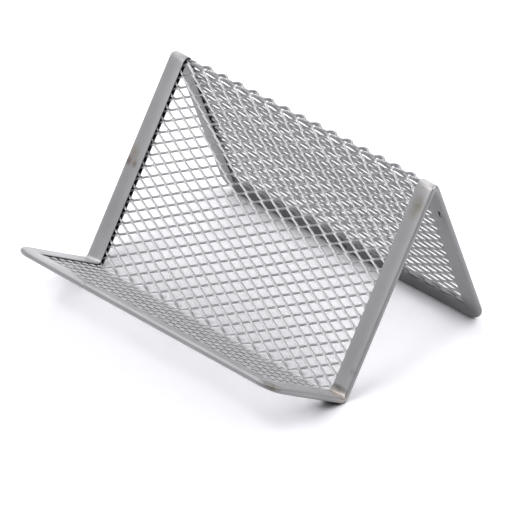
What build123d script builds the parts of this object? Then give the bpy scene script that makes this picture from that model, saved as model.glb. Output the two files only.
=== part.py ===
from build123d import *
import math
import os

# Business card stand: a sheet of expanded steel mesh folded into a lip, a leaning back and a
# rear leg, with a steel channel pressed round its edge. Millimetres and degrees; +Z is up and
# the lip faces -Y. The origin is on the desk, under the middle of the stand.

# Side view: lip, heel fold, back, ridge fold, leg
overall_width = 100.8
lip_length = 33.1           # free edge to the corner of the heel fold, along the sheet
lip_angle = 31.5            # rise of the lip above the desk
back_length = 63.9          # corner of the heel fold to the corner of the ridge fold
back_angle = 57.1           # lean of the back above the desk
leg_angle = 69.2            # slope of the leg above the desk
heel_inner_radius = 0.3     # inside of the rim at each fold
ridge_inner_radius = 0.1

# Rim: strip steel folded to a channel over the edge of the mesh
rim_sheet = 0.35
rim_flange = 5.65           # outer edge to the raw edge of the strip
rim_edge_round = 0.8        # outside of the strip's fold over the edge of the mesh
corner_radius = 6.0         # the four free corners, in the plane of the sheet
crimp_clearance = 0.05      # between the mesh and each flange
mesh_edge_gap = 0.4         # between the edge of the mesh and the floor of the channel

# Mesh: diamond openings, long way across the stand
mesh_thickness = 1.0
mesh_long_pitch = 6.0
mesh_short_pitch = 3.42
strand_width = 0.6
mesh_shift_x = 1.4          # opening nearest the middle of the stand
mesh_shift_s = 2.05         # opening nearest the free edge of the lip, along the sheet

# Seam of the rim on the lip: square at the fold, with a notch between the upper flanges
seam_from_left = 28.0
notch_left = 10.0           # reach to each side of the seam, at the raw edge
notch_right = 4.5
notch_depth = 3.0

# Seam of the rim on the foot: the two ends of the strip stop short of each other
foot_seam_from_left = 48.85
foot_seam_gap = 1.1

# Slot in the under flange of the right leg, for the hook of the paint line
slot_length = 2.6
slot_width = 0.8
slot_from_edge = 2.1        # middle of the slot to the outer edge of the rim
slot_below_ridge = 12.2     # middle of the slot to the corner of the ridge fold

# Rim sections
channel_gap = mesh_thickness + 2 * crimp_clearance
rim_thickness = channel_gap + 2 * rim_sheet
half_rim = rim_thickness / 2
half_gap = channel_gap / 2
half_mesh = mesh_thickness / 2
half_width = overall_width / 2
overcut = rim_thickness + rim_flange    # how far a cutting shape runs past what it cuts

# Folds: radius and developed length at the middle of the sheet
heel_radius = heel_inner_radius + half_rim
ridge_radius = ridge_inner_radius + half_rim
heel_turn = math.radians(lip_angle + back_angle)
ridge_turn = -math.radians(back_angle + leg_angle)
heel_setback = heel_radius * math.tan(heel_turn / 2)
ridge_setback = ridge_radius * math.tan(-ridge_turn / 2)


def leg_to_desk():
    """Length of the leg from the ridge corner that sets the foot as low as the heel."""
    lip, back, leg = (math.radians(a) for a in (lip_angle, back_angle, leg_angle))
    heel_centre = heel_setback * math.sin(lip) + heel_radius * math.cos(lip)
    desk = heel_centre - heel_inner_radius - rim_thickness
    foot_drop = rim_edge_round * (1 - math.sin(leg)) + (half_rim - rim_edge_round) * math.cos(leg)
    return (back_length * math.sin(back) - foot_drop - desk) / math.sin(leg)


leg_length = leg_to_desk()

# The sheet's middle line from the lip's free edge to the foot: each run's length and turn
runs = [
    (lip_length - heel_setback, 0.0),
    (heel_radius * heel_turn, heel_turn),
    (back_length - heel_setback - ridge_setback, 0.0),
    (ridge_radius * -ridge_turn, ridge_turn),
    (leg_length - ridge_setback, 0.0),
]
ends = [sum(length for length, _ in runs[:i]) for i in range(len(runs) + 1)]
sheet_length = ends[-1]
heel_middle = (ends[1] + ends[2]) / 2
ridge_middle = (ends[3] + ends[4]) / 2


def station(s):
    """Place (y, z) and heading on the sheet's middle line at developed length s."""
    y, z, heading = 0.0, 0.0, -math.radians(lip_angle)
    for (length, turn), begin in zip(runs, ends):
        last = begin == ends[-2]
        step = s - begin if last else min(s - begin, length)
        bend = turn * step / length
        chord = step if bend == 0 else step * math.sin(bend / 2) / (bend / 2)
        y += chord * math.cos(heading + bend / 2)
        z += chord * math.sin(heading + bend / 2)
        heading += bend
        if s <= begin + length:
            break
    return y, z, heading


def place(x, s, offset):
    """Point at x across the stand, s along the sheet and offset from its middle, to the card side."""
    y, z, heading = station(s)
    return Vector(x, y - offset * math.sin(heading), z + offset * math.cos(heading))


def side_line(x, s0, s1, offset):
    """Edges that follow the sheet from s0 to s1 at one offset."""
    edges = []
    for (length, turn), begin in zip(runs, ends):
        first = s0 if begin == 0 else max(s0, begin)
        final = s1 if begin == ends[-2] else min(s1, begin + length)
        if final <= first:
            continue
        a, b = place(x, first, offset), place(x, final, offset)
        if turn == 0:
            edges.append(Edge.make_line(a, b))
        else:
            edges.append(Edge.make_three_point_arc(a, place(x, (first + final) / 2, offset), b))
    return edges


def strip(x0, x1, s0, s1, low, high):
    """Folded plate from x0 to x1, from s0 to s1 along the sheet, between two offsets."""
    start = Edge.make_line(place(x0, s0, low), place(x0, s0, high))
    finish = Edge.make_line(place(x0, s1, low), place(x0, s1, high))
    outline = [start, finish, *side_line(x0, s0, s1, low), *side_line(x0, s0, s1, high)]
    return Solid.extrude(Face(Wire(outline)), Vector(x1 - x0, 0, 0))


def edges_at(solid, points):
    """The edge of a solid whose middle is nearest to each point."""
    return [min(solid.edges(), key=lambda e, p=p: (e.position_at(0.5) - p).length) for p in points]


def round_corners(plate, inset, stations):
    """Round a plate's corners in its own plane, parallel to the stand's free corners."""
    points = [place(x, s, 0) for s in stations for x in (inset - half_width, half_width - inset)]
    return plate.fillet(corner_radius - inset, edges_at(plate, points))


def flat_prism(plan, low, high):
    """Prism over a plan of (x, s) points that all lie on one flat of the sheet."""
    base = Face(Wire.make_polygon([place(x, s, low) for x, s in plan]))
    x, s = plan[0]
    return Solid.extrude(base, place(x, s, high) - place(x, s, low))


def rim_edges(plate, thickness):
    """Edges where the wide faces of a plate with rounded corners meet its rim."""
    near_edge = thickness / 4
    found = []
    for edge in plate.edges():
        middle = edge.position_at(0.5)
        at_side = abs(middle.X) > half_width - corner_radius + near_edge
        at_end = min((middle - place(middle.X, s, 0)).length for s in (0, sheet_length)) < corner_radius
        across_sheet = abs(edge.length - thickness) < near_edge and edge.geom_type == GeomType.LINE
        if (at_side or at_end) and not across_sheet:
            found.append(edge)
    return found


def make_rim_ring():
    """The whole rim as one closed channel."""
    blank = strip(-half_width, half_width, 0, sheet_length, -half_rim, half_rim)
    blank = round_corners(blank, 0, (0, sheet_length))
    blank = blank.fillet(rim_edge_round, rim_edges(blank, rim_thickness))
    clear_x = half_width - rim_flange
    through = half_rim + min(heel_inner_radius, ridge_inner_radius) / 2
    window = strip(-clear_x, clear_x, rim_flange, sheet_length - rim_flange, -through, through)
    floor_x = half_width - rim_sheet
    channel = strip(-floor_x, floor_x, rim_sheet, sheet_length - rim_sheet, -half_gap, half_gap)
    channel = round_corners(channel, rim_sheet, (rim_sheet, sheet_length - rim_sheet))
    channel = channel.fillet(rim_edge_round - rim_sheet, rim_edges(channel, channel_gap))
    return blank - window - channel - make_notch()


def make_notch():
    """Cutter for the notch in the upper flange at the seam."""
    seam_x = seam_from_left - half_width
    plan = [
        (seam_x, rim_flange - notch_depth),
        (seam_x + notch_right, rim_flange),
        (seam_x + notch_right, rim_flange + overcut),
        (seam_x - notch_left, rim_flange + overcut),
        (seam_x - notch_left, rim_flange),
    ]
    return flat_prism(plan, half_gap, overcut)


def front_region():
    """Space of the rim's front length: a square end at the seam and a mitred right corner."""
    left = seam_from_left - half_width
    plan = [
        (left, -overcut),
        (half_width + overcut, -overcut),
        (half_width - rim_flange, rim_flange),
        (left, rim_flange),
    ]
    return flat_prism(plan, -overcut, overcut)


def foot_region(side, end):
    """Space of one of the foot's two lengths: side is -1 or 1, end is its square end at the seam."""
    plan = [
        (side * (half_width + overcut), sheet_length + overcut),
        (end, sheet_length + overcut),
        (end, sheet_length - rim_flange),
        (side * (half_width - rim_flange), sheet_length - rim_flange),
    ]
    return flat_prism(plan, -overcut, overcut)


def foot_gap():
    """Space between the two lengths of the foot."""
    left, right = foot_seam_ends()
    first, last = sheet_length - rim_flange, sheet_length + overcut
    return flat_prism([(left, first), (right, first), (right, last), (left, last)], -overcut, overcut)


def foot_seam_ends():
    """Where the left and the right length of the foot end, across the stand."""
    middle = foot_seam_from_left - half_width
    return middle - foot_seam_gap / 2, middle + foot_seam_gap / 2


def make_slot():
    """Cutter for the slot through the under flange of the right leg."""
    x = half_width - slot_from_edge
    s = ends[4] + slot_below_ridge - ridge_setback
    corners = [(-1, -1), (1, -1), (1, 1), (-1, 1)]
    plan = [(x + i * slot_width / 2, s + j * slot_length / 2) for i, j in corners]
    return flat_prism(plan, -overcut, -half_gap)


def make_rims():
    """The rim's five lengths by name."""
    ring = make_rim_ring()
    left_end, right_end = foot_seam_ends()
    front, foot_left, foot_right = front_region(), foot_region(-1, left_end), foot_region(1, right_end)
    sides = (ring - front - foot_left - foot_right - foot_gap()).solids().sort_by(Axis.X)
    return {
        "left_side_rim": sides[0],
        "right_side_rim": sides[-1] - make_slot(),
        "front_lip_rim": ring & front,
        "left_foot_rim": ring & foot_left,
        "right_foot_rim": ring & foot_right,
    }


def opening(x, s):
    """Cutter for one diamond opening, square to the sheet at its middle."""
    slope = math.atan2(mesh_short_pitch, mesh_long_pitch)
    half_long = mesh_long_pitch / 2 - strand_width / 2 / math.sin(slope)
    half_short = mesh_short_pitch / 2 - strand_width / 2 / math.cos(slope)
    y, z, heading = station(s)
    across = Vector(half_long, 0, 0)
    along = Vector(0, math.cos(heading), math.sin(heading)) * half_short
    up = Vector(0, -math.sin(heading), math.cos(heading)) * (half_mesh + half_short / 2)
    middle = Vector(x, y, z) - up
    diamond = Wire.make_polygon([middle + across, middle + along, middle - across, middle - along])
    return Solid.extrude(Face(diamond), up * 2)


def openings(s0, s1):
    """Cutters for the openings between two places along the sheet that show inside the rim."""
    reach_x = half_width - rim_flange + mesh_long_pitch / 4
    first_s, last_s = rim_flange - mesh_short_pitch / 4, sheet_length - rim_flange + mesh_short_pitch / 4
    cutters = []
    for row in range(math.ceil(2 * sheet_length / mesh_short_pitch)):
        s = mesh_shift_s + row * mesh_short_pitch / 2
        if not (max(s0 - mesh_short_pitch, first_s) <= s <= min(s1 + mesh_short_pitch, last_s)):
            continue
        row_x = mesh_shift_x + (row % 2) * mesh_long_pitch / 2
        least = math.ceil((-reach_x - row_x) / mesh_long_pitch)
        most = math.floor((reach_x - row_x) / mesh_long_pitch)
        cutters += [opening(row_x + i * mesh_long_pitch, s) for i in range(least, most + 1)]
    return cutters


def make_meshes():
    """The mesh sheet by name, as its three flats, which meet in the middle of the folds."""
    inset = rim_sheet + mesh_edge_gap
    edge_x = half_width - inset
    first, last = inset, sheet_length - inset
    spans = {
        "lip_mesh": (first, heel_middle, (first,)),
        "back_mesh": (heel_middle, ridge_middle, ()),
        "leg_mesh": (ridge_middle, last, (last,)),
    }
    meshes = {}
    for name, (s0, s1, corners) in spans.items():
        plate = strip(-edge_x, edge_x, s0, s1, -half_mesh, half_mesh)
        if corners:
            plate = round_corners(plate, inset, corners)
        meshes[name] = plate.cut(*openings(s0, s1))
    return meshes


def main():
    """Build every piece, stand the origin on the desk and write one file for each."""
    pieces = {**make_rims(), **make_meshes()}
    box = Compound(list(pieces.values())).bounding_box()
    to_origin = Location((-box.center().X, -box.center().Y, -box.min.Z))
    os.makedirs("parts", exist_ok=True)
    for name, piece in pieces.items():
        export_step(to_origin * piece, f"parts/{name}.step")
    print("size", box.size, "leg", leg_length, "shift", to_origin.position)


main()
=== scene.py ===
"""Business card stand of silver painted expanded steel, with a channel rim, on a pale studio floor.

Everything is in metres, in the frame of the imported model: +Z is up and the lip faces -Y.
"""

import logging
import math
from dataclasses import dataclass, field
from enum import Enum, IntEnum

import bmesh
import bpy
from mathutils import Matrix, Vector


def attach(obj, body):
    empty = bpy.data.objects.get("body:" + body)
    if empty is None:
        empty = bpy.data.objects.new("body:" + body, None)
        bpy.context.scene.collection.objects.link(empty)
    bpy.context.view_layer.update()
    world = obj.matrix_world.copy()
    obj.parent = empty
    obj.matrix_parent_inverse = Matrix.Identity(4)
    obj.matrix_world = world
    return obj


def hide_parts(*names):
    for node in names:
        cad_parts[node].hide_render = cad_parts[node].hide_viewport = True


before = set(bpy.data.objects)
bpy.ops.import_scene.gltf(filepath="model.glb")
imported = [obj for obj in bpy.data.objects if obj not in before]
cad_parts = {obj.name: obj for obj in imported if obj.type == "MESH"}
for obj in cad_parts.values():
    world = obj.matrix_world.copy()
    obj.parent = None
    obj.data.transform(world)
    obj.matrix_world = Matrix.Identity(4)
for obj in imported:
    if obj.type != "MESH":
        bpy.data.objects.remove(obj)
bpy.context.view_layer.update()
MM = 0.001
log = logging.getLogger("card_stand")

Pair = tuple[float, float]
Point = tuple[float, float, float]
Rgb = tuple[float, float, float]


def clamp(share: float) -> float:
    """Keep a share between 0 and 1."""
    return min(max(share, 0.0), 1.0)


def smooth(share: float) -> float:
    """Ease from 0 to 1 as the share goes from 0 to 1."""
    t = clamp(share)
    return t * t * (3 - 2 * t)


def hump(away: float) -> float:
    """Fall from 1 to 0 as the distance goes from 0 to 1."""
    return math.cos(away * math.pi / 2) ** 2


def facing(place: Vector, way: Vector, axis: str) -> Matrix:
    """Give the matrix that sets a thing at a place with one of its axes along a way."""
    return Matrix.Translation(place) @ way.to_track_quat(axis, "Y").to_matrix().to_4x4()


def cut(bm: bmesh.types.BMesh, point: Vector | Point, normal: Vector | Point, slack: float,
        clear: bool = False) -> None:
    """Cut a mesh along a plane.

    Args:
        bm: The mesh.
        point: A point of the plane.
        normal: The plane's normal.
        slack: Distance within which a corner counts as lying on the plane.
        clear: Whether what lies beyond the plane goes.
    """
    whole = [*bm.verts, *bm.edges, *bm.faces]
    bmesh.ops.bisect_plane(bm, geom=whole, dist=slack, plane_co=point, plane_no=normal, clear_outer=clear)


def round_edges(bm: bmesh.types.BMesh, angle: float, radius: float, segments: int) -> None:
    """Take the sharp edges off a mesh.

    Args:
        bm: The mesh.
        angle: Turn from which an edge counts as sharp.
        radius: Width of the round on each side of an edge.
        segments: Facets of the round.
    """
    sharp = [e for e in bm.edges if len(e.link_faces) == 2 and e.calc_face_angle() > angle]
    bmesh.ops.bevel(bm, geom=sharp, offset=radius, offset_type="OFFSET", segments=segments, profile=0.5,
                    affect="EDGES", material=-1, clamp_overlap=True)


def join(whole: bmesh.types.BMesh, part: bmesh.types.BMesh, gap: float) -> None:
    """Weld a second bar to the first one where they meet.

    Args:
        whole: Bar that takes the other one in.
        part: Bar that is used up.
        gap: Distance within which corners are welded.
    """
    mesh = bpy.data.meshes.new("join")
    part.to_mesh(mesh)
    part.free()
    whole.from_mesh(mesh)
    bpy.data.meshes.remove(mesh)
    bmesh.ops.remove_doubles(whole, verts=whole.verts, dist=gap)


def to_object(bm: bmesh.types.BMesh, name: str) -> bpy.types.Object:
    """Turn a mesh into a smooth object of the scene.

    Args:
        bm: The mesh, which is used up.
        name: Name of the object and of its mesh.

    Returns:
        The object.
    """
    mesh = bpy.data.meshes.new(name)
    bm.to_mesh(mesh)
    bm.free()
    mesh.polygons.foreach_set("use_smooth", [True] * len(mesh.polygons))
    obj = bpy.data.objects.new(name, mesh)
    bpy.context.scene.collection.objects.link(obj)
    return obj


def add_node(nodes: bpy.types.Nodes, kind: str, mode: str = "", **values: float | tuple) -> bpy.types.Node:
    """Add a shader node.

    Args:
        nodes: Nodes of the tree that it joins.
        kind: Its type, without the leading ShaderNode.
        mode: Data type of a mix, or operation of a math node.
        values: Values of its sockets by name, with _ for a space.

    Returns:
        The node.
    """
    node = nodes.new("ShaderNode" + kind)
    if mode and kind == "Mix":
        node.data_type = mode
    elif mode:
        node.operation = mode
    for label, value in values.items():
        node.inputs[label.replace("_", " ")].default_value = value
    return node


class Panel(Enum):
    """The three flats of the folded sheet, by the node each one stands for."""

    LIP = "lip_mesh"
    BACK = "back_mesh"
    LEG = "leg_mesh"


class RimLength(Enum):
    """The five lengths of the rim, by the node each one stands for."""

    LEFT = "left_side_rim"
    RIGHT = "right_side_rim"
    FRONT = "front_lip_rim"
    LEFT_FOOT = "left_foot_rim"
    RIGHT_FOOT = "right_foot_rim"


class Edge(Enum):
    """Edges of the flat sheet that a bar of the rim runs along."""

    LEFT = 0
    RIGHT = 1
    FRONT = 2
    REAR = 3


class StrandSide(IntEnum):
    """Material slots of a flat of the mesh."""

    TOP = 0
    UNDER = 1


class RimSide(IntEnum):
    """Material slots of a length of the rim."""

    OUTER = 0
    WELL = 1
    UNDER = 2


@dataclass(frozen=True)
class FoldedSheet:
    """Middle line of the folded sheet in side view, from the lip's free edge to the foot."""

    half_width: float = 50.4 * MM
    lip_length: float = 33.1 * MM
    lip_angle: float = math.radians(31.5)
    back_length: float = 63.9 * MM
    back_angle: float = math.radians(57.1)
    leg_length: float = 57.796 * MM
    leg_angle: float = math.radians(69.2)
    heel_radius: float = 1.9 * MM
    ridge_radius: float = 1.0 * MM
    tip: Pair = (-41.9471 * MM, 17.7597 * MM)
    fold_facets: int = 6

    def ridge_setback(self) -> float:
        """Give the distance from the ridge's corner to the end of its bend."""
        return self.ridge_radius * math.tan((self.back_angle + self.leg_angle) / 2)

    def runs(self) -> list[Pair]:
        """Give each straight or bent run of the line.

        Returns:
            Length and turn of every run, in order.
        """
        heel_turn = self.lip_angle + self.back_angle
        ridge_turn = self.back_angle + self.leg_angle
        heel_setback = self.heel_radius * math.tan(heel_turn / 2)
        ridge_setback = self.ridge_setback()
        return [
            (self.lip_length - heel_setback, 0.0),
            (self.heel_radius * heel_turn, heel_turn),
            (self.back_length - heel_setback - ridge_setback, 0.0),
            (self.ridge_radius * ridge_turn, -ridge_turn),
            (self.leg_length - ridge_setback, 0.0),
        ]

    def ends(self) -> list[float]:
        """Give the developed length at which each run begins, and the whole length last."""
        lengths = [length for length, _ in self.runs()]
        return [sum(lengths[:i]) for i in range(len(lengths) + 1)]

    def length(self) -> float:
        """Give the whole developed length."""
        return self.ends()[-1]

    def fold_middles(self) -> Pair:
        """Give the developed lengths in the middle of the heel fold and of the ridge fold."""
        ends = self.ends()
        return (ends[1] + ends[2]) / 2, (ends[3] + ends[4]) / 2

    def span(self, panel: Panel) -> Pair:
        """Give the part of the line that belongs to one panel.

        Args:
            panel: Which flat of the sheet.

        Returns:
            First and last developed length; panels meet in the middle of a fold.
        """
        heel, ridge = self.fold_middles()
        spans = {Panel.LIP: (0.0, heel), Panel.BACK: (heel, ridge), Panel.LEG: (ridge, self.length())}
        return spans[panel]

    def fold_cuts(self) -> list[float]:
        """Give the developed lengths at which the folds are cut into facets, so that they bend smoothly.

        Returns:
            The cuts of the heel fold, and then those of the ridge fold.
        """
        ends = self.ends()
        folds = [(ends[1], ends[2]), (ends[3], ends[4])]
        steps = range(self.fold_facets + 1)
        return [first + (last - first) * k / self.fold_facets for first, last in folds for k in steps]

    def place(self, x: float, s: float, offset: float) -> Vector:
        """Find a point of the folded sheet.

        Args:
            x: Place across the stand.
            s: Developed length from the lip's free edge.
            offset: Distance from the middle of the sheet, towards the card side.

        Returns:
            The point in the stand's frame.
        """
        y, z = self.tip
        heading = -self.lip_angle
        rest = s
        runs = self.runs()
        for i, (length, turn) in enumerate(runs):
            step = rest if i == len(runs) - 1 else min(rest, length)
            bend = turn * step / length
            chord = step if bend == 0 else step * math.sin(bend / 2) / (bend / 2)
            y += chord * math.cos(heading + bend / 2)
            z += chord * math.sin(heading + bend / 2)
            heading += bend
            rest -= step
            if rest <= 0:
                break
        return Vector((x, y - offset * math.sin(heading), z + offset * math.cos(heading)))


class Shop:
    """Node groups that more than one finish uses, each built once."""

    FLAKE_DETAIL = 3.0
    TONE_DETAIL = 5.0
    TONE_ROUGHNESS = 0.6
    TONE_RANGE = (0.3, 0.7)
    GLOSS_RANGE = (0.35, 0.65)
    GLOSS_SWING = 0.05
    PATCH_RANGE = (1.0, 0.2)
    RAGGED_SCALE = 520.0
    RAGGED_DETAIL = 3.0
    RAGGED_RANGE = (0.36, 0.66)

    @staticmethod
    def group(name: str, inputs: dict[str, str], outputs: dict[str, str]) -> bpy.types.NodeTree:
        """Start a group with named sockets.

        Args:
            name: Name of the group.
            inputs: Kind of every socket that goes in, by name.
            outputs: Kind of every socket that comes out, by name.

        Returns:
            The group, with its input and output nodes.
        """
        tree = bpy.data.node_groups.new(name, "ShaderNodeTree")
        for way, sockets in (("INPUT", inputs), ("OUTPUT", outputs)):
            for label, kind in sockets.items():
                tree.interface.new_socket(label, in_out=way, socket_type="NodeSocket" + kind)
        tree.nodes.new("NodeGroupInput").name = "in"
        tree.nodes.new("NodeGroupOutput").name = "out"
        return tree

    @classmethod
    def paint_grain(cls) -> bpy.types.NodeTree:
        """Build the grain of sprayed paint: fine flakes, and slow changes of tone.

        Returns:
            The group, with a tone factor, a change of roughness and a height.
        """
        name = "paint_grain"
        if name in bpy.data.node_groups:
            return bpy.data.node_groups[name]
        tree = cls.group(name, {"Vector": "Vector", "Flake Scale": "Float", "Tone Scale": "Float"},
                         {"Tone": "Float", "Gloss": "Float", "Height": "Float"})
        nodes, links = tree.nodes, tree.links
        given, result = nodes["in"].outputs, nodes["out"].inputs
        flakes = add_node(nodes, "TexNoise", Detail=cls.FLAKE_DETAIL)
        slow = add_node(nodes, "TexNoise", Detail=cls.TONE_DETAIL, Roughness=cls.TONE_ROUGHNESS)
        tone = add_node(nodes, "MapRange", From_Min=cls.TONE_RANGE[0], From_Max=cls.TONE_RANGE[1])
        gloss = add_node(nodes, "MapRange", From_Min=cls.GLOSS_RANGE[0], From_Max=cls.GLOSS_RANGE[1],
                         To_Min=-cls.GLOSS_SWING, To_Max=cls.GLOSS_SWING)
        links.new(given["Vector"], flakes.inputs["Vector"])
        links.new(given["Vector"], slow.inputs["Vector"])
        links.new(given["Flake Scale"], flakes.inputs["Scale"])
        links.new(given["Tone Scale"], slow.inputs["Scale"])
        links.new(slow.outputs["Fac"], tone.inputs["Value"])
        links.new(flakes.outputs["Fac"], gloss.inputs["Value"])
        links.new(tone.outputs["Result"], result["Tone"])
        links.new(gloss.outputs["Result"], result["Gloss"])
        links.new(flakes.outputs["Fac"], result["Height"])
        return tree

    @classmethod
    def scuff(cls) -> bpy.types.NodeTree:
        """Build the mask of a spot, used for wear and for painted light and shade: a ragged patch round one
        point.

        Returns:
            The group, with the mask of the patch.
        """
        name = "scuff"
        if name in bpy.data.node_groups:
            return bpy.data.node_groups[name]
        inputs = {"Vector": "Vector", "Centre": "Vector", "Reach": "Vector", "Whole": "Float"}
        tree = cls.group(name, inputs, {"Mask": "Float"})
        nodes, links = tree.nodes, tree.links
        given, result = nodes["in"].outputs, nodes["out"].inputs
        offset = add_node(nodes, "VectorMath", "SUBTRACT")
        scaled = add_node(nodes, "VectorMath", "DIVIDE")
        away = add_node(nodes, "VectorMath", "LENGTH")
        patch = add_node(nodes, "MapRange", From_Min=cls.PATCH_RANGE[0], From_Max=cls.PATCH_RANGE[1])
        ragged = add_node(nodes, "TexNoise", Scale=cls.RAGGED_SCALE, Detail=cls.RAGGED_DETAIL)
        spot_mark = add_node(nodes, "MapRange", From_Min=cls.RAGGED_RANGE[0], From_Max=cls.RAGGED_RANGE[1])
        both = add_node(nodes, "Math", "MULTIPLY")
        links.new(given["Vector"], offset.inputs[0])
        links.new(given["Centre"], offset.inputs[1])
        links.new(offset.outputs["Vector"], scaled.inputs[0])
        links.new(given["Reach"], scaled.inputs[1])
        links.new(scaled.outputs["Vector"], away.inputs[0])
        links.new(away.outputs["Value"], patch.inputs["Value"])
        links.new(given["Vector"], ragged.inputs["Vector"])
        links.new(ragged.outputs["Fac"], spot_mark.inputs["Value"])
        links.new(given["Whole"], spot_mark.inputs["To Min"])
        links.new(patch.outputs["Result"], both.inputs[0])
        links.new(spot_mark.outputs["Result"], both.inputs[1])
        links.new(both.outputs["Value"], result["Mask"])
        return tree


@dataclass(frozen=True)
class WearAndLightSpot:
    """One rubbed or stained spot of the paint, or one spot of painted light or shade, with its centre and
    reach in millimetres.

    A whole of 1 leaves no gaps in the spot, and a bare of 1 shows plain steel there.
    """

    centre: Point
    reach: Point
    colour: Rgb
    whole: float = 0.0
    bare: float = 0.0


@dataclass(frozen=True)
class PaintFinish:
    """Satin silver paint on steel; the same recipe also makes the dark painted shade."""

    name: str
    colour: Rgb
    shade: Rgb
    metallic: float
    roughness: float
    bump: float
    wear_and_light_spots: tuple[WearAndLightSpot, ...] = ()
    flake_scale: float = 2600.0
    flake_height: float = 0.02 * MM
    tone_scale: float = 90.0

    def material(self) -> bpy.types.Material:
        """Make the paint as a material.

        Returns:
            A new material with flake grain, slow changes of tone and its spots of wear and of painted light
            and shade.
        """
        mat = bpy.data.materials.new(self.name)
        mat.use_nodes = True
        nodes, links = mat.node_tree.nodes, mat.node_tree.links
        shader = nodes["Principled BSDF"]
        shader.inputs["Metallic"].default_value = self.metallic
        place = add_node(nodes, "TexCoord")
        grain = add_node(nodes, "Group")
        grain.node_tree = Shop.paint_grain()
        grain.inputs["Flake Scale"].default_value = self.flake_scale
        grain.inputs["Tone Scale"].default_value = self.tone_scale
        tone = add_node(nodes, "Mix", "RGBA", A=(*self.shade, 1), B=(*self.colour, 1))
        gloss = add_node(nodes, "Math", "ADD")
        gloss.inputs[1].default_value = self.roughness
        bump = add_node(nodes, "Bump", Strength=self.bump, Distance=self.flake_height)
        links.new(place.outputs["Object"], grain.inputs["Vector"])
        links.new(grain.outputs["Tone"], tone.inputs["Factor"])
        links.new(grain.outputs["Gloss"], gloss.inputs[0])
        links.new(gloss.outputs["Value"], shader.inputs["Roughness"])
        links.new(grain.outputs["Height"], bump.inputs["Height"])
        links.new(bump.outputs["Normal"], shader.inputs["Normal"])
        self.lay_spots(mat.node_tree, place.outputs["Object"], tone.outputs["Result"])
        return mat

    def lay_spots(self, tree: bpy.types.NodeTree, place: bpy.types.NodeSocket,
             paint: bpy.types.NodeSocket) -> None:
        """Lay the spots of wear and of painted light and shade on the paint, and give the shader its colour
        and the metal that shows.

        Args:
            tree: Nodes of the material.
            place: Socket with the coordinates.
            paint: Socket with the colour of the fresh paint.
        """
        nodes, links = tree.nodes, tree.links
        shader = nodes["Principled BSDF"]
        shine = None
        for spot_mark in self.wear_and_light_spots:
            spot = add_node(nodes, "Group")
            spot.node_tree = Shop.scuff()
            spot.inputs["Centre"].default_value = [c * MM for c in spot_mark.centre]
            spot.inputs["Reach"].default_value = [r * MM for r in spot_mark.reach]
            spot.inputs["Whole"].default_value = spot_mark.whole
            spot_colour = add_node(nodes, "Mix", "RGBA", B=(*spot_mark.colour, 1))
            links.new(place, spot.inputs["Vector"])
            links.new(spot.outputs["Mask"], spot_colour.inputs["Factor"])
            links.new(paint, spot_colour.inputs["A"])
            paint = spot_colour.outputs["Result"]
            if spot_mark.bare:
                worn = add_node(nodes, "Mix", A=self.metallic, B=spot_mark.bare)
                links.new(spot.outputs["Mask"], worn.inputs["Factor"])
                if shine:
                    links.new(shine, worn.inputs["A"])
                shine = worn.outputs["Result"]
        if shine:
            links.new(shine, shader.inputs["Metallic"])
        links.new(paint, shader.inputs["Base Color"])


RIM_WEAR_AND_LIGHT = (
    WearAndLightSpot((47.6, 16.0, 48.1), (2.4, 3.6, 5.0), (0.29, 0.27, 0.19), 0.45),  # scuff below the right cap
    WearAndLightSpot((-49.2, 2.1, 26.7), (1.5, 1.7, 2.0), (0.19, 0.125, 0.105), 0.6),  # specks of the left rail
    WearAndLightSpot((-46.9, 2.0, 26.6), (1.1, 1.3, 1.6), (0.24, 0.19, 0.15), 0.6),
    WearAndLightSpot((-48.3, 3.6, 28.9), (2.0, 2.2, 3.2), (0.40, 0.37, 0.32), 0.5),
    WearAndLightSpot((48.9, -10.2, 7.7), (2.0, 1.4, 1.6), (0.34, 0.33, 0.32)),  # scuff low on the right rail
    WearAndLightSpot((48.4, -40.8, 17.0), (5.0, 3.0, 3.0), (0.20, 0.185, 0.15), 0.6),  # brown corner of the lip
    WearAndLightSpot((-47.6, -27.0, 10.0), (6.0, 17.0, 11.0), (0.66, 0.65, 0.67), 1.0, 0.4),  # painted highlight on the left end of the lip
    WearAndLightSpot((-39.0, -38.0, 16.2), (13.0, 4.6, 4.0), (0.72, 0.71, 0.73), 1.0, 0.4),
    WearAndLightSpot((47.8, -14.1, 1.1), (6.5, 4.2, 3.4), (0.56, 0.50, 0.455), 0.85, 0.9),  # worn right heel, with painted shade in the crease above it
    WearAndLightSpot((47.0, -13.2, 3.4), (5.2, 0.9, 0.9), (0.20, 0.19, 0.19), 0.8),
    WearAndLightSpot((-47.8, -13.7, 1.3), (4.5, 2.6, 2.0), (0.66, 0.65, 0.65), 0.75, 0.8),  # worn left heel, lightened as painted highlight
    WearAndLightSpot((47.8, 20.4, 53.0), (4.2, 4.2, 3.4), (0.66, 0.64, 0.64), 0.8, 0.55),  # worn caps of the ridge, lightened as painted highlight
    WearAndLightSpot((-47.8, 20.4, 53.0), (4.0, 3.4, 2.6), (0.53, 0.53, 0.54), 0.7, 0.15),
    WearAndLightSpot((44.0, 39.5, 2.5), (9.0, 5.0, 9.0), (0.26, 0.257, 0.27), 1.0),  # painted shade on the right end of the foot
)
# Makes the painted shade under the foot lighter towards the foot's right end.
FOOT_SHADE_FADE = (WearAndLightSpot((51.0, 41.0, 1.5), (16.0, 9.0, 9.0), (0.38, 0.377, 0.39), 1.0),)
# LIP_TONE makes the top of the lip's mesh darker; LIP_SHADE is painted shade on the underside of the lip's
# mesh.
LIP_MIDDLE = (0.0, -29.0, 10.0)
LIP_REACH = (120.0, 22.0, 18.0)
LIP_TONE = WearAndLightSpot(LIP_MIDDLE, LIP_REACH, (0.54, 0.535, 0.553), 1.0)
LIP_SHADE = WearAndLightSpot(LIP_MIDDLE, LIP_REACH, (0.24, 0.237, 0.25), 1.0)

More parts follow.
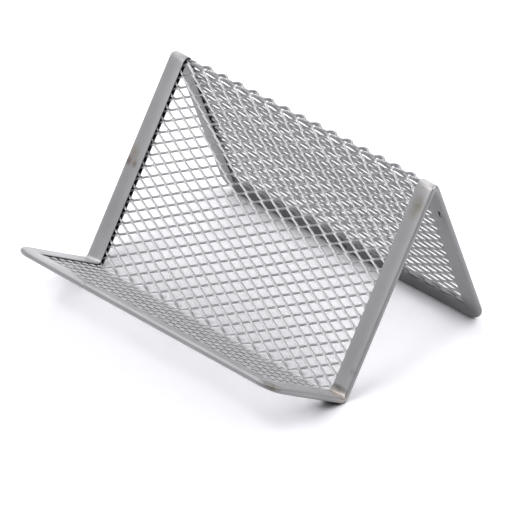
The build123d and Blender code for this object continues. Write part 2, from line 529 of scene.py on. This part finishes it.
RIM_PAINT = PaintFinish(
    "rim_paint", (0.512, 0.508, 0.523), (0.455, 0.451, 0.466),
    metallic=0.32, roughness=0.33, bump=0.25, wear_and_light_spots=RIM_WEAR_AND_LIGHT)
# Painted shade on the foot's flange that faces into the stand, over the shaded floor there.
FOOT_UNDERSIDE_SHADE = PaintFinish(
    "foot_underside_shade", (0.26, 0.257, 0.27), (0.2, 0.197, 0.21),
    metallic=0.25, roughness=0.4, bump=0.3, wear_and_light_spots=FOOT_SHADE_FADE)
MESH_PAINT = PaintFinish(
    "mesh_paint", (0.60, 0.595, 0.608), (0.56, 0.556, 0.568),
    metallic=0.7, roughness=0.35, bump=0.15, wear_and_light_spots=(LIP_TONE,))
# Painted shade: the mesh's underside is a little darker than its top.
MESH_UNDERSIDE_SHADE = PaintFinish(
    "mesh_underside_shade", (0.57, 0.563, 0.576), (0.52, 0.514, 0.527),
    metallic=0.7, roughness=0.4, bump=0.2, wear_and_light_spots=(LIP_SHADE,))
# Painted shade: the inside of the channel is painted near black, as the deep shade there.
CHANNEL_SHADE = PaintFinish(
    "channel_shade", (0.06, 0.06, 0.065), (0.03, 0.03, 0.032),
    metallic=0.6, roughness=0.55, bump=0.3)


@dataclass
class ExpandedMesh:
    """Sheet slit in staggered rows and stretched, so that its strands stand tilted like louvres."""

    sheet: FoldedSheet
    long_pitch: float = 6.0 * MM
    short_pitch: float = 3.42 * MM
    strand: float = 0.62 * MM
    gauge: float = 0.36 * MM
    tilt: float = math.radians(36)
    bond: float = 0.7 * MM
    strand_steps: int = 4
    first_hole: Pair = (1.5 * MM, 1.77 * MM)
    spare_rows: int = 2
    edge_inset: float = 0.75 * MM
    corner_centre: float = 6.0 * MM
    corner_reach: float = 5.2 * MM
    cut_slack: float = 1e-7
    edge_round: float = 0.05 * MM
    sharp_angle: float = math.radians(50)
    under_normal: float = -0.7
    # How the press drew it: a bow in the back, and a leg that slips and leans
    bow: float = -0.5 * MM
    bow_middle: float = 69.0 * MM
    bow_reach: float = 24.0 * MM
    leg_slip: float = -1.2 * MM
    slip_run: float = 14.0 * MM
    leg_lean: float = -0.55 * MM
    lean_run: float = 14.0 * MM
    # Where it lies in the channel, on lip, back, leg and foot
    seats: tuple[float, float, float, float] = (0.12 * MM, -0.12 * MM, 0.12 * MM, -0.12 * MM)
    seat_run: float = 6.0 * MM
    # Strands that stand up along the ridge, and the holes that close there
    crest_lift: float = 0.5 * MM
    crest_stand: float = 0.9
    crest_back: float = 0.8 * MM
    crest_run: float = 2.5 * MM
    crest_clear: float = 42.0 * MM
    crest_start: float = 0.5
    pinch: float = 0.7
    pinch_run: float = 2.0 * MM
    pieces: list[bpy.types.Object] = field(default_factory=list)

    def columns(self) -> list[float]:
        """Give the columns of the grid within half a pitch.

        Returns:
            Their places, as shares of half a pitch.
        """
        half = self.long_pitch / 2
        flat = self.bond / 2 / half
        steps = [flat + (1 - 2 * flat) * k / self.strand_steps for k in range(self.strand_steps + 1)]
        return [0.0, *steps]

    def swing(self, share: float) -> float:
        """Say where a strand is between its lower bond and its upper bond.

        Args:
            share: Place along half a pitch, from the middle of the lower bond.

        Returns:
            -1 at the lower bond to 1 at the upper one.
        """
        flat = self.bond / self.long_pitch
        return 2 * clamp((share - flat) / (1 - 2 * flat)) - 1

    def build(self, panel: Panel) -> bpy.types.Object:
        """Make one flat of the sheet.

        Args:
            panel: Which flat.

        Returns:
            The finished object.
        """
        first, last = self.sheet.span(panel)
        row_pitch = self.short_pitch / 2
        low_row = math.floor((first - self.first_hole[1]) / row_pitch) - self.spare_rows
        rows = math.ceil((last - first) / row_pitch) + 2 * self.spare_rows + 1
        reach = math.ceil((self.sheet.half_width + self.long_pitch) / self.long_pitch)
        shares = self.columns()
        per_half = len(shares)
        halves = 4 * reach  # two to a pitch, on both sides
        bm = bmesh.new()
        bmesh.ops.create_grid(bm, x_segments=halves * per_half, y_segments=rows, size=0.5)
        for v in bm.verts:
            v.co.x = round((v.co.x + 0.5) * halves * per_half)
            v.co.y = round((v.co.y + 0.5) * rows)
        self.slit(bm, per_half, low_row)
        self.stretch(bm, shares, reach, low_row)
        for v in bm.verts:
            v.co.x, v.co.y = self.drawn(v.co.x, v.co.y)
        self.trim(bm, panel, first, last)
        bmesh.ops.recalc_face_normals(bm, faces=bm.faces)
        self.thicken(bm)
        for v in bm.verts:
            crest = self.crest(v.co.x, v.co.y)
            height = v.co.z * (1 + self.crest_stand * crest) + self.crest_lift * crest + self.seat(v.co.y)
            v.co = self.sheet.place(v.co.x, v.co.y, height)
        return self.finish(bm, panel)

    def ridge_row(self) -> Pair:
        """Find the row of holes that lies on the ridge.

        Returns:
            Place of one of its holes, across the stand and as developed length.
        """
        ridge = self.sheet.fold_middles()[1]
        row = round((ridge - self.first_hole[1]) / (self.short_pitch / 2))
        x = self.first_hole[0] + row % 2 * self.long_pitch / 2
        return x, self.first_hole[1] + row * self.short_pitch / 2

    def drawn(self, x: float, s: float) -> Pair:
        """Pull the lattice a little out of square, and close its holes on the ridge, as the press drew it.

        Args:
            x: Place across the stretched sheet.
            s: Developed length.

        Returns:
            The place after drawing.
        """
        away = min(abs(s - self.bow_middle) / self.bow_reach, 1.0)
        past = s - self.ridge_row()[1]
        squeeze = self.pinch * past * math.exp(-(past / self.pinch_run) ** 2)
        lean = self.bow * hump(away) + self.leg_lean * smooth(past / self.lean_run)
        return x + lean, s - squeeze + self.leg_slip * smooth(past / self.slip_run)

    def seat(self, s: float) -> float:
        """Say to which side the mesh lies in the rim's channel.

        Args:
            s: Developed length.

        Returns:
            Offset from the middle of the sheet.
        """
        changes = (*self.sheet.fold_middles(), self.sheet.length() - 2 * self.seat_run)
        offset = self.seats[0]
        for place, before, after in zip(changes, self.seats, self.seats[1:]):
            offset += (after - before) * smooth((s - place) / self.seat_run + 0.5)
        return offset

    def crest(self, x: float, s: float) -> float:
        """Say how far the strands stand up on the ridge, beside the holes that lie on it.

        Args:
            x: Place across the stand.
            s: Developed length.

        Returns:
            Share of the full height, 0 at the bonds and away from the ridge.
        """
        away = abs(s - self.sheet.fold_middles()[1] - self.crest_back) / self.crest_run
        if away >= 1:
            return 0.0
        width = self.sheet.half_width
        clear = smooth((width - abs(x)) / (width - self.crest_clear) - self.crest_start)
        swell = (1 + math.cos(2 * math.pi * (x - self.ridge_row()[0]) / self.long_pitch)) / 2
        return swell * clear * hump(away)

    def slit(self, bm: bmesh.types.BMesh, per_half: int, low_row: int) -> None:
        """Cut the blank along its rows, and leave the bonds whole.

        Args:
            bm: The blank, one unit for each column and row.
            per_half: Columns in half a pitch.
            low_row: Number of the blank's first row.
        """
        cuts = []
        for edge in bm.edges:
            a, b = edge.verts
            if a.co.y != b.co.y:
                continue
            row = round(a.co.y) + low_row
            half, place = divmod(round(min(a.co.x, b.co.x)), per_half)
            bonded_column = 0 if (half + row) % 2 == 1 else per_half - 1
            if place != bonded_column:
                cuts.append(edge)
        bmesh.ops.split_edges(bm, edges=cuts)

    def stretch(self, bm: bmesh.types.BMesh, shares: list[float], reach: int, low_row: int) -> None:
        """Open the slits and tilt the strands; the sheet is still flat.

        Args:
            bm: The slit blank.
            shares: Places of the columns within half a pitch.
            reach: Pitches on each side of the first hole.
            low_row: Number of the blank's first row.
        """
        per_half = len(shares)
        half_pitch = self.long_pitch / 2
        row_pitch = self.short_pitch / 2
        across, deep = self.strand * math.cos(self.tilt), self.strand * math.sin(self.tilt)
        lift = (row_pitch - across) / 2
        moved = {}
        for v in bm.verts:
            row = math.floor(v.link_faces[0].calc_center_median().y) + low_row
            side = 1 if v.co.y + low_row > row + 0.5 else -1
            half, place = divmod(round(v.co.x), per_half)
            rising = (half + row) % 2 == 1
            share = shares[place]
            swing = self.swing(share) if rising else -self.swing(share)
            x = self.first_hole[0] + (half - 2 * reach + share) * half_pitch
            middle = self.first_hole[1] + (row + 0.5) * row_pitch
            s = middle + swing * lift + side * across / 2
            h = swing * deep / 2 - side * deep / 2
            moved[v] = (x, s, h)
        for v, co in moved.items():
            v.co = co

    def trim(self, bm: bmesh.types.BMesh, panel: Panel, first: float, last: float) -> None:
        """Cut the stretched sheet to its outline and into facets at the folds.

        Args:
            bm: The stretched sheet.
            panel: Which flat.
            first: Developed length where it begins.
            last: Developed length where it ends.
        """
        length = self.sheet.length()
        low = self.edge_inset if panel is Panel.LIP else first
        high = length - self.edge_inset if panel is Panel.LEG else last
        edge = self.sheet.half_width - self.edge_inset
        planes = [
            ((edge, 0, 0), (1, 0, 0)),
            ((-edge, 0, 0), (-1, 0, 0)),
            ((0, low, 0), (0, -1, 0)),
            ((0, high, 0), (0, 1, 0)),
        ]
        corner_s = {Panel.LIP: (self.corner_centre, -1), Panel.LEG: (length - self.corner_centre, 1)}
        if panel in corner_s:
            s, way = corner_s[panel]
            for side in (-1, 1):
                normal = Vector((side, way, 0)).normalized()
                centre = Vector((side * (self.sheet.half_width - self.corner_centre), s, 0))
                planes.append((centre + normal * self.corner_reach, normal))
        for point, normal in planes:
            cut(bm, point, normal, self.cut_slack, clear=True)
        for s in self.sheet.fold_cuts():
            if low < s < high:
                cut(bm, (0, s, 0), (0, 1, 0), self.cut_slack)
        loose = [v for v in bm.verts if not v.link_faces]
        bmesh.ops.delete(bm, geom=loose, context="VERTS")

    def thicken(self, bm: bmesh.types.BMesh) -> None:
        """Give the strands the gauge of the steel, take their sharp edges off and mark their undersides.

        Args:
            bm: The trimmed sheet.
        """
        if sum(f.normal.z for f in bm.faces) < 0:
            bmesh.ops.reverse_faces(bm, faces=bm.faces)
        bmesh.ops.solidify(bm, geom=bm.faces[:], thickness=self.gauge)
        bmesh.ops.recalc_face_normals(bm, faces=bm.faces)
        heights = [v.co.z for v in bm.verts]
        middle = (min(heights) + max(heights)) / 2
        bmesh.ops.translate(bm, verts=bm.verts, vec=(0, 0, -middle))
        round_edges(bm, self.sharp_angle, self.edge_round, 1)
        bm.normal_update()
        for face in bm.faces:
            side = StrandSide.UNDER if face.normal.z < self.under_normal else StrandSide.TOP
            face.material_index = side.value

    def finish(self, bm: bmesh.types.BMesh, panel: Panel) -> bpy.types.Object:
        """Turn the mesh into a piece that stands for its node.

        Args:
            bm: The folded mesh.
            panel: Which flat.

        Returns:
            The object.
        """
        obj = to_object(bm, panel.value + "_strands")
        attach(obj, "root")
        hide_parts(panel.value)
        self.pieces.append(obj)
        return obj

    def dress(self) -> None:
        """Paint every flat, with painted shade on the side that lies under the sheet."""
        sides = {StrandSide.TOP: MESH_PAINT.material(), StrandSide.UNDER: MESH_UNDERSIDE_SHADE.material()}
        for obj in self.pieces:
            for side in StrandSide:
                obj.data.materials.append(sides[side])


@dataclass
class ChannelRim:
    """Steel strip folded over the edge of the mesh, in five lengths.

    It has a seam on the lip, with a notch, and an open one on the foot.
    """

    sheet: FoldedSheet
    flange: float = 5.65 * MM
    half_rim: float = 0.9 * MM
    strip: float = 0.25 * MM
    corner: float = 6.0 * MM
    corner_steps: int = 8
    seam: float = -22.4 * MM
    notch_sides: Pair = (10.0 * MM, 4.5 * MM)
    notch_steps: tuple[int, int] = (6, 4)
    notch_depth: float = 3.0 * MM
    foot_ends: Pair = (-2.1 * MM, -1.0 * MM)
    heel_puff: float = 0.27 * MM
    slot_middle: Pair = (2.1 * MM, 12.2 * MM)
    slot_size: Pair = (0.8 * MM, 2.6 * MM)
    raw_round: float = 0.06 * MM
    raw_angle: float = math.radians(55)
    shading_angle: float = math.radians(40)
    fold_steps: int = 8
    face_slack: float = 0.01 * MM
    cut_slack: float = 1e-8
    weld_gap: float = 0.002 * MM
    pieces: dict[RimLength, bpy.types.Object] = field(default_factory=dict)

    def profile(self, slotted: bool) -> list[Pair]:
        """Give the section of the channel.

        Args:
            slotted: Whether the under flange needs corners for the slot.

        Returns:
            Points as distance from the outer edge and offset from the middle of the sheet.
        """
        outer, inner = self.half_rim, self.half_rim - self.strip
        slot = [self.slot_middle[0] + side * self.slot_size[0] / 2 for side in (1, -1)] if slotted else []
        angles = [math.pi / 2 - math.pi * k / self.fold_steps for k in range(self.fold_steps + 1)]
        fold = [(outer - math.cos(a) * outer, -math.sin(a) * outer) for a in angles]
        well = [(outer - math.cos(a) * inner, -math.sin(a) * inner) for a in angles]
        under = [(d, -outer) for d in (self.flange, *slot)]
        inside = [(d, -inner) for d in (*reversed(slot), self.flange)]
        return [*under, *fold, (self.flange, outer), (self.flange, inner), *reversed(well), *inside]

    def bar(self, edge: Edge, stations: list[float], slotted: bool = False) -> bmesh.types.BMesh:
        """Draw the channel out along one edge of the flat sheet.

        Args:
            edge: Edge that it runs along.
            stations: Places of its sections along that edge.
            slotted: Whether the under flange needs corners for the slot.

        Returns:
            A bar with open ends, as (x, developed length, offset).
        """
        bm = bmesh.new()
        ring = [bm.verts.new((d, stations[0], n)) for d, n in self.profile(slotted)]
        loop = [bm.edges.new(pair) for pair in zip(ring, ring[1:] + ring[:1])]
        for here, there in zip(stations, stations[1:]):
            grown = bmesh.ops.extrude_edge_only(bm, edges=loop)["geom"]
            moved = {g for g in grown if isinstance(g, bmesh.types.BMVert)}
            bmesh.ops.translate(bm, verts=list(moved), vec=(0, there - here, 0))
            loop = [g for g in grown if isinstance(g, bmesh.types.BMEdge) and moved.issuperset(g.verts)]
        self.mark_sides(bm)
        width, length = self.sheet.half_width, self.sheet.length()
        turn = {
            Edge.LEFT: Matrix(((1, 0, 0, -width), (0, 1, 0, 0), (0, 0, 1, 0), (0, 0, 0, 1))),
            Edge.RIGHT: Matrix(((-1, 0, 0, width), (0, 1, 0, 0), (0, 0, 1, 0), (0, 0, 0, 1))),
            Edge.FRONT: Matrix(((0, 1, 0, 0), (1, 0, 0, 0), (0, 0, 1, 0), (0, 0, 0, 1))),
            Edge.REAR: Matrix(((0, 1, 0, 0), (-1, 0, 0, length), (0, 0, 1, 0), (0, 0, 0, 1))),
        }[edge]
        bmesh.ops.transform(bm, matrix=turn, verts=bm.verts)
        return bm

    def mark_sides(self, bm: bmesh.types.BMesh) -> None:
        """Mark the inside of the channel, which gets painted shade, and its underside.

        Args:
            bm: A bar that still lies along the developed length.
        """
        inner = self.half_rim - self.strip + self.face_slack
        for face in bm.faces:
            middle = face.calc_center_median()
            from_fold = math.hypot(min(middle.x - self.half_rim, 0), middle.z)
            side = RimSide.WELL if from_fold < inner else RimSide.OUTER
            if middle.z < -inner:
                side = RimSide.UNDER
            face.material_index = side.value

    def mitre(self, bm: bmesh.types.BMesh, side: int, end: int, keep_side: bool) -> None:
        """Cut a bar off along the line that halves a corner.

        Args:
            bm: The bar on the flat sheet.
            side: -1 for the left corner, 1 for the right one.
            end: -1 for the lip, 1 for the foot.
            keep_side: Whether the bar is the one along the side.
        """
        corner = Vector((side * self.sheet.half_width, 0 if end < 0 else self.sheet.length(), 0))
        normal = Vector((-side, end, 0)) if keep_side else Vector((side, -end, 0))
        cut(bm, corner, normal, self.cut_slack, clear=True)

    def slot_place(self) -> float:
        """Give the developed length at the middle of the slot."""
        return self.sheet.ends()[4] - self.sheet.ridge_setback() + self.slot_middle[1]

    def rounds(self) -> list[float]:
        """Give the distances from a corner at which its bend has sections."""
        return [self.corner * k / self.corner_steps for k in range(self.corner_steps + 1)]

    def side_stations(self) -> list[float]:
        """Give the sections along a side.

        Returns:
            Developed lengths, close together in corners and folds, and at both ends of the slot.
        """
        length, slot = self.sheet.length(), self.slot_place()
        corners = [*self.rounds(), *(length - r for r in self.rounds())]
        slot_ends = [slot - self.slot_size[1] / 2, slot + self.slot_size[1] / 2]
        return sorted({*corners, *self.sheet.fold_cuts(), *slot_ends})

    def end_stations(self, first: float, last: float) -> list[float]:
        """Give the sections along the lip's edge or the foot.

        Args:
            first: Where the bar begins, across the stand.
            last: Where it ends.

        Returns:
            Places across the stand, close together at corners and at the seam.
        """
        corners = [self.sheet.half_width - r for r in self.rounds()]
        left, right = self.notch_sides
        before, after = self.notch_steps
        notch = [self.seam - left * k / before for k in range(before + 1)]
        notch += [self.seam + right * k / after for k in range(1, after + 1)]
        places = {first, last, *corners, *(-c for c in corners), *notch}
        return sorted(p for p in places if first <= p <= last)

    def build(self, length: RimLength) -> bpy.types.Object:
        """Make one length of the rim.

        Args:
            length: Which one.

        Returns:
            The finished object.
        """
        width = self.sheet.half_width
        if length is RimLength.LEFT:
            bm = self.bar(Edge.LEFT, self.side_stations())
            self.mitre(bm, -1, -1, True)
            self.mitre(bm, -1, 1, True)
            stub = self.bar(Edge.FRONT, self.end_stations(-width, self.seam))
            self.mitre(stub, -1, -1, False)
            join(bm, stub, self.weld_gap)
        elif length is RimLength.RIGHT:
            bm = self.bar(Edge.RIGHT, self.side_stations(), slotted=True)
            self.punch_slot(bm)
            self.mitre(bm, 1, -1, True)
            self.mitre(bm, 1, 1, True)
        elif length is RimLength.FRONT:
            bm = self.bar(Edge.FRONT, self.end_stations(self.seam, width))
            self.mitre(bm, 1, -1, False)
        elif length is RimLength.LEFT_FOOT:
            bm = self.bar(Edge.REAR, self.end_stations(-width, self.foot_ends[0]))
            self.mitre(bm, -1, 1, False)
        else:
            bm = self.bar(Edge.REAR, self.end_stations(self.foot_ends[1], width))
            self.mitre(bm, 1, 1, False)
        bmesh.ops.holes_fill(bm, edges=[e for e in bm.edges if e.is_boundary])
        for v in bm.verts:
            x, s = self.round_corner(v.co.x, self.notched(v.co))
            v.co = self.sheet.place(x, s, v.co.z - self.puff(s, v.co.z))
        return self.finish(bm, length)

    def puff(self, s: float, offset: float) -> float:
        """Say how far the under side of the heel bend stands out past an even bend.

        Args:
            s: Developed length.
            offset: Distance from the middle of the sheet.

        Returns:
            Distance outwards.
        """
        ends = self.sheet.ends()
        share = clamp((s - ends[1]) / (ends[2] - ends[1]))
        swell = self.heel_puff * math.sin(math.pi * share) ** 2
        return swell * (self.half_rim - offset) / (2 * self.half_rim)

    def notched(self, co: Vector) -> float:
        """Draw the raw edge of the upper flange back beside the seam.

        Args:
            co: Point of the flat rim.

        Returns:
            Its developed length.
        """
        side = self.notch_sides[0 if co.x < self.seam else 1]
        away = abs(co.x - self.seam) / side
        if co.z <= 0 or away > 1 or co.y > self.flange + self.face_slack:
            return co.y
        return min(co.y, self.flange - self.notch_depth * (1 - away))

    def round_corner(self, x: float, s: float) -> Pair:
        """Bend the mitred corners round.

        Args:
            x: Place across the flat sheet.
            s: Developed length.

        Returns:
            Place on the sheet with round corners.
        """
        width, length = self.sheet.half_width, self.sheet.length()
        side = 1 if x > 0 else -1
        from_side = width - abs(x)
        at_lip = s < length / 2
        from_end = s if at_lip else length - s
        if max(from_side, from_end) >= self.corner:
            return x, s
        depth, along = min(from_side, from_end), max(from_side, from_end)
        radius = self.corner - depth
        turn = (self.corner - along) / radius * math.pi / 4
        near, far = self.corner - radius * math.cos(turn), self.corner - radius * math.sin(turn)
        from_side, from_end = (near, far) if from_side <= from_end else (far, near)
        return side * (width - from_side), from_end if at_lip else length - from_end

    def punch_slot(self, bm: bmesh.types.BMesh) -> None:
        """Open the small slot through the under flange of the right leg.

        Args:
            bm: The right bar on the flat sheet.
        """
        x, s = self.sheet.half_width - self.slot_middle[0], self.slot_place()
        walls = []
        for offset in (-self.half_rim, self.strip - self.half_rim):
            middle = Vector((x, s, offset))
            walls.append(min(bm.faces, key=lambda f: (f.calc_center_median() - middle).length))
        rims = [edge for face in walls for edge in face.edges]
        bmesh.ops.delete(bm, geom=walls, context="FACES_ONLY")
        bmesh.ops.bridge_loops(bm, edges=rims)

    def finish(self, bm: bmesh.types.BMesh, length: RimLength) -> bpy.types.Object:
        """Take the raw edges off and make the piece that stands for its node.

        Args:
            bm: The folded rim.
            length: Which length.

        Returns:
            The object.
        """
        bmesh.ops.recalc_face_normals(bm, faces=bm.faces)
        round_edges(bm, self.raw_angle, self.raw_round, 2)
        obj = to_object(bm, length.value + "_channel")
        obj.data.set_sharp_from_angle(angle=self.shading_angle)
        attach(obj, "root")
        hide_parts(length.value)
        self.pieces[length] = obj
        return obj

    def dress(self) -> None:
        """Paint every length, with painted shade in the channel of lip, back and leg, and under the foot."""
        # The dark material for the inside of the channel is painted shade, and so is the one under the foot.
        paint, bare, foot_shade = RIM_PAINT.material(), CHANNEL_SHADE.material(), FOOT_UNDERSIDE_SHADE.material()
        upper = {RimSide.OUTER: paint, RimSide.WELL: bare, RimSide.UNDER: paint}
        foot = {RimSide.OUTER: paint, RimSide.WELL: paint, RimSide.UNDER: foot_shade}
        for length, obj in self.pieces.items():
            sides = foot if length in (RimLength.LEFT_FOOT, RimLength.RIGHT_FOOT) else upper
            for side in RimSide:
                obj.data.materials.append(sides[side])


@dataclass(frozen=True)
class Softbox:
    """One square lamp, in degrees round from the front towards the right, degrees up, metres and watts."""

    name: str
    azimuth: float
    elevation: float
    size: float
    power: float


SOFTBOXES = (
    Softbox("front_box", -15.4, 55.0, 0.9, 7.4),
    Softbox("right_box", 104.6, 51.0, 0.9, 5.3),
    Softbox("rear_box", 164.6, 55.0, 0.9, 4.2),
    Softbox("left_box", 284.0, 55.0, 0.9, 2.0),
    Softbox("left_spark_box", 242.0, 47.0, 0.6, 1.8),
    Softbox("low_rear_box", 224.6, 20.0, 0.9, 3.4),
    Softbox("low_left_box", 290.0, 20.0, 0.9, 1.0),
    Softbox("top_box", 44.6, 88.0, 0.9, 0.7),
)


@dataclass
class Studio:
    """Pale floor, soft light from all round, and the camera."""

    eye: Point = (1.15345, -1.165857, 1.08406)
    aim: Point = (-0.000175, 0.002796, 0.016843)
    lens: float = 500.6
    sensor: float = 36.0
    clip: Pair = (0.05, 20.0)
    lamp_aim: Point = (0.0, 0.0, 0.02)
    lamp_distance: float = 1.4
    fill: Rgb = (0.985, 0.975, 1.0)
    fill_strength: float = 0.15
    floor_size: float = 6.0
    floor_seen: Rgb = (1.37, 1.36, 1.415)
    floor_mirrored: Rgb = (1.0, 0.995, 1.02)
    floor_bounce: Rgb = (0.42, 0.42, 0.426)
    contact_reach: float = 6 * MM
    contact_range: Pair = (0.16, 0.52)
    contact_least: float = 0.04

    def build(self) -> None:
        """Set up the floor, the lights and the camera."""
        self.floor()
        self.world()
        self.lamps()
        self.camera()

    def floor(self) -> None:
        """Lay the pale floor."""
        bm = bmesh.new()
        bmesh.ops.create_grid(bm, x_segments=1, y_segments=1, size=self.floor_size / 2)
        obj = to_object(bm, "floor")
        obj.data.materials.append(self.paper())

    def paper(self) -> bpy.types.Material:
        """Make the floor's paper: white to the camera and in reflections, darker where it lights the stand.

        Returns:
            The material, with a soft contact shade that only the camera sees.
        """
        mat = bpy.data.materials.new("white_paper")
        mat.use_nodes = True
        nodes, links = mat.node_tree.nodes, mat.node_tree.links
        nodes.remove(nodes["Principled BSDF"])
        matt = add_node(nodes, "BsdfDiffuse")
        near = add_node(nodes, "AmbientOcclusion", Distance=self.contact_reach)
        shade = add_node(nodes, "MapRange", From_Min=self.contact_range[0], From_Max=self.contact_range[1],
                         To_Min=self.contact_least)
        touch = add_node(nodes, "Mix", "RGBA", A=(0, 0, 0, 1), B=(*self.floor_seen, 1))
        mirrored = add_node(nodes, "Mix", "RGBA", A=(*self.floor_bounce, 1), B=(*self.floor_mirrored, 1))
        seen = add_node(nodes, "Mix", "RGBA")
        path = add_node(nodes, "LightPath")
        either = add_node(nodes, "Math", "MAXIMUM")
        links.new(near.outputs["AO"], shade.inputs["Value"])
        links.new(shade.outputs["Result"], touch.inputs["Factor"])
        links.new(path.outputs["Is Glossy Ray"], either.inputs[0])
        links.new(path.outputs["Is Transmission Ray"], either.inputs[1])
        links.new(either.outputs["Value"], mirrored.inputs["Factor"])
        links.new(path.outputs["Is Camera Ray"], seen.inputs["Factor"])
        links.new(mirrored.outputs["Result"], seen.inputs["A"])
        links.new(touch.outputs["Result"], seen.inputs["B"])
        links.new(seen.outputs["Result"], matt.inputs["Color"])
        links.new(matt.outputs["BSDF"], nodes["Material Output"].inputs["Surface"])
        return mat

    def world(self) -> None:
        """Fill the room with a little even light."""
        world = bpy.data.worlds.new("studio")
        bpy.context.scene.world = world
        world.use_nodes = True
        back = world.node_tree.nodes["Background"]
        back.inputs["Color"].default_value = (*self.fill, 1)
        back.inputs["Strength"].default_value = self.fill_strength

    def lamps(self) -> None:
        """Hang the softboxes round the stand, each facing it."""
        for box in SOFTBOXES:
            lamp = bpy.data.lights.new(box.name, "AREA")
            lamp.shape = "SQUARE"
            lamp.size = box.size
            lamp.energy = box.power
            obj = bpy.data.objects.new(box.name, lamp)
            turn, rise = math.radians(box.azimuth), math.radians(box.elevation)
            level = math.cos(rise)
            way = Vector((math.sin(turn) * level, -math.cos(turn) * level, math.sin(rise)))
            obj.matrix_world = facing(Vector(self.lamp_aim) + way * self.lamp_distance, way, "Z")
            bpy.context.scene.collection.objects.link(obj)

    def camera(self) -> None:
        """Set the camera at the photograph's angle."""
        cam = bpy.data.cameras.new("camera")
        cam.sensor_width = self.sensor
        cam.sensor_fit = "HORIZONTAL"
        cam.lens = self.lens
        cam.clip_start, cam.clip_end = self.clip
        obj = bpy.data.objects.new("camera", cam)
        eye = Vector(self.eye)
        obj.matrix_world = facing(eye, Vector(self.aim) - eye, "-Z")
        bpy.context.scene.collection.objects.link(obj)
        bpy.context.scene.camera = obj


def main() -> None:
    """Build the stand and its studio."""
    logging.basicConfig(level=logging.INFO)
    bpy.context.scene.view_settings.view_transform = "Standard"
    mesh = ExpandedMesh(FoldedSheet())
    rim = ChannelRim(mesh.sheet)
    for maker, choices in ((mesh, Panel), (rim, RimLength)):
        for choice in choices:
            obj = maker.build(choice)
            log.info("%s: %d faces", obj.name, len(obj.data.polygons))
        maker.dress()
    Studio().build()


if __name__ == "__main__":
    main()
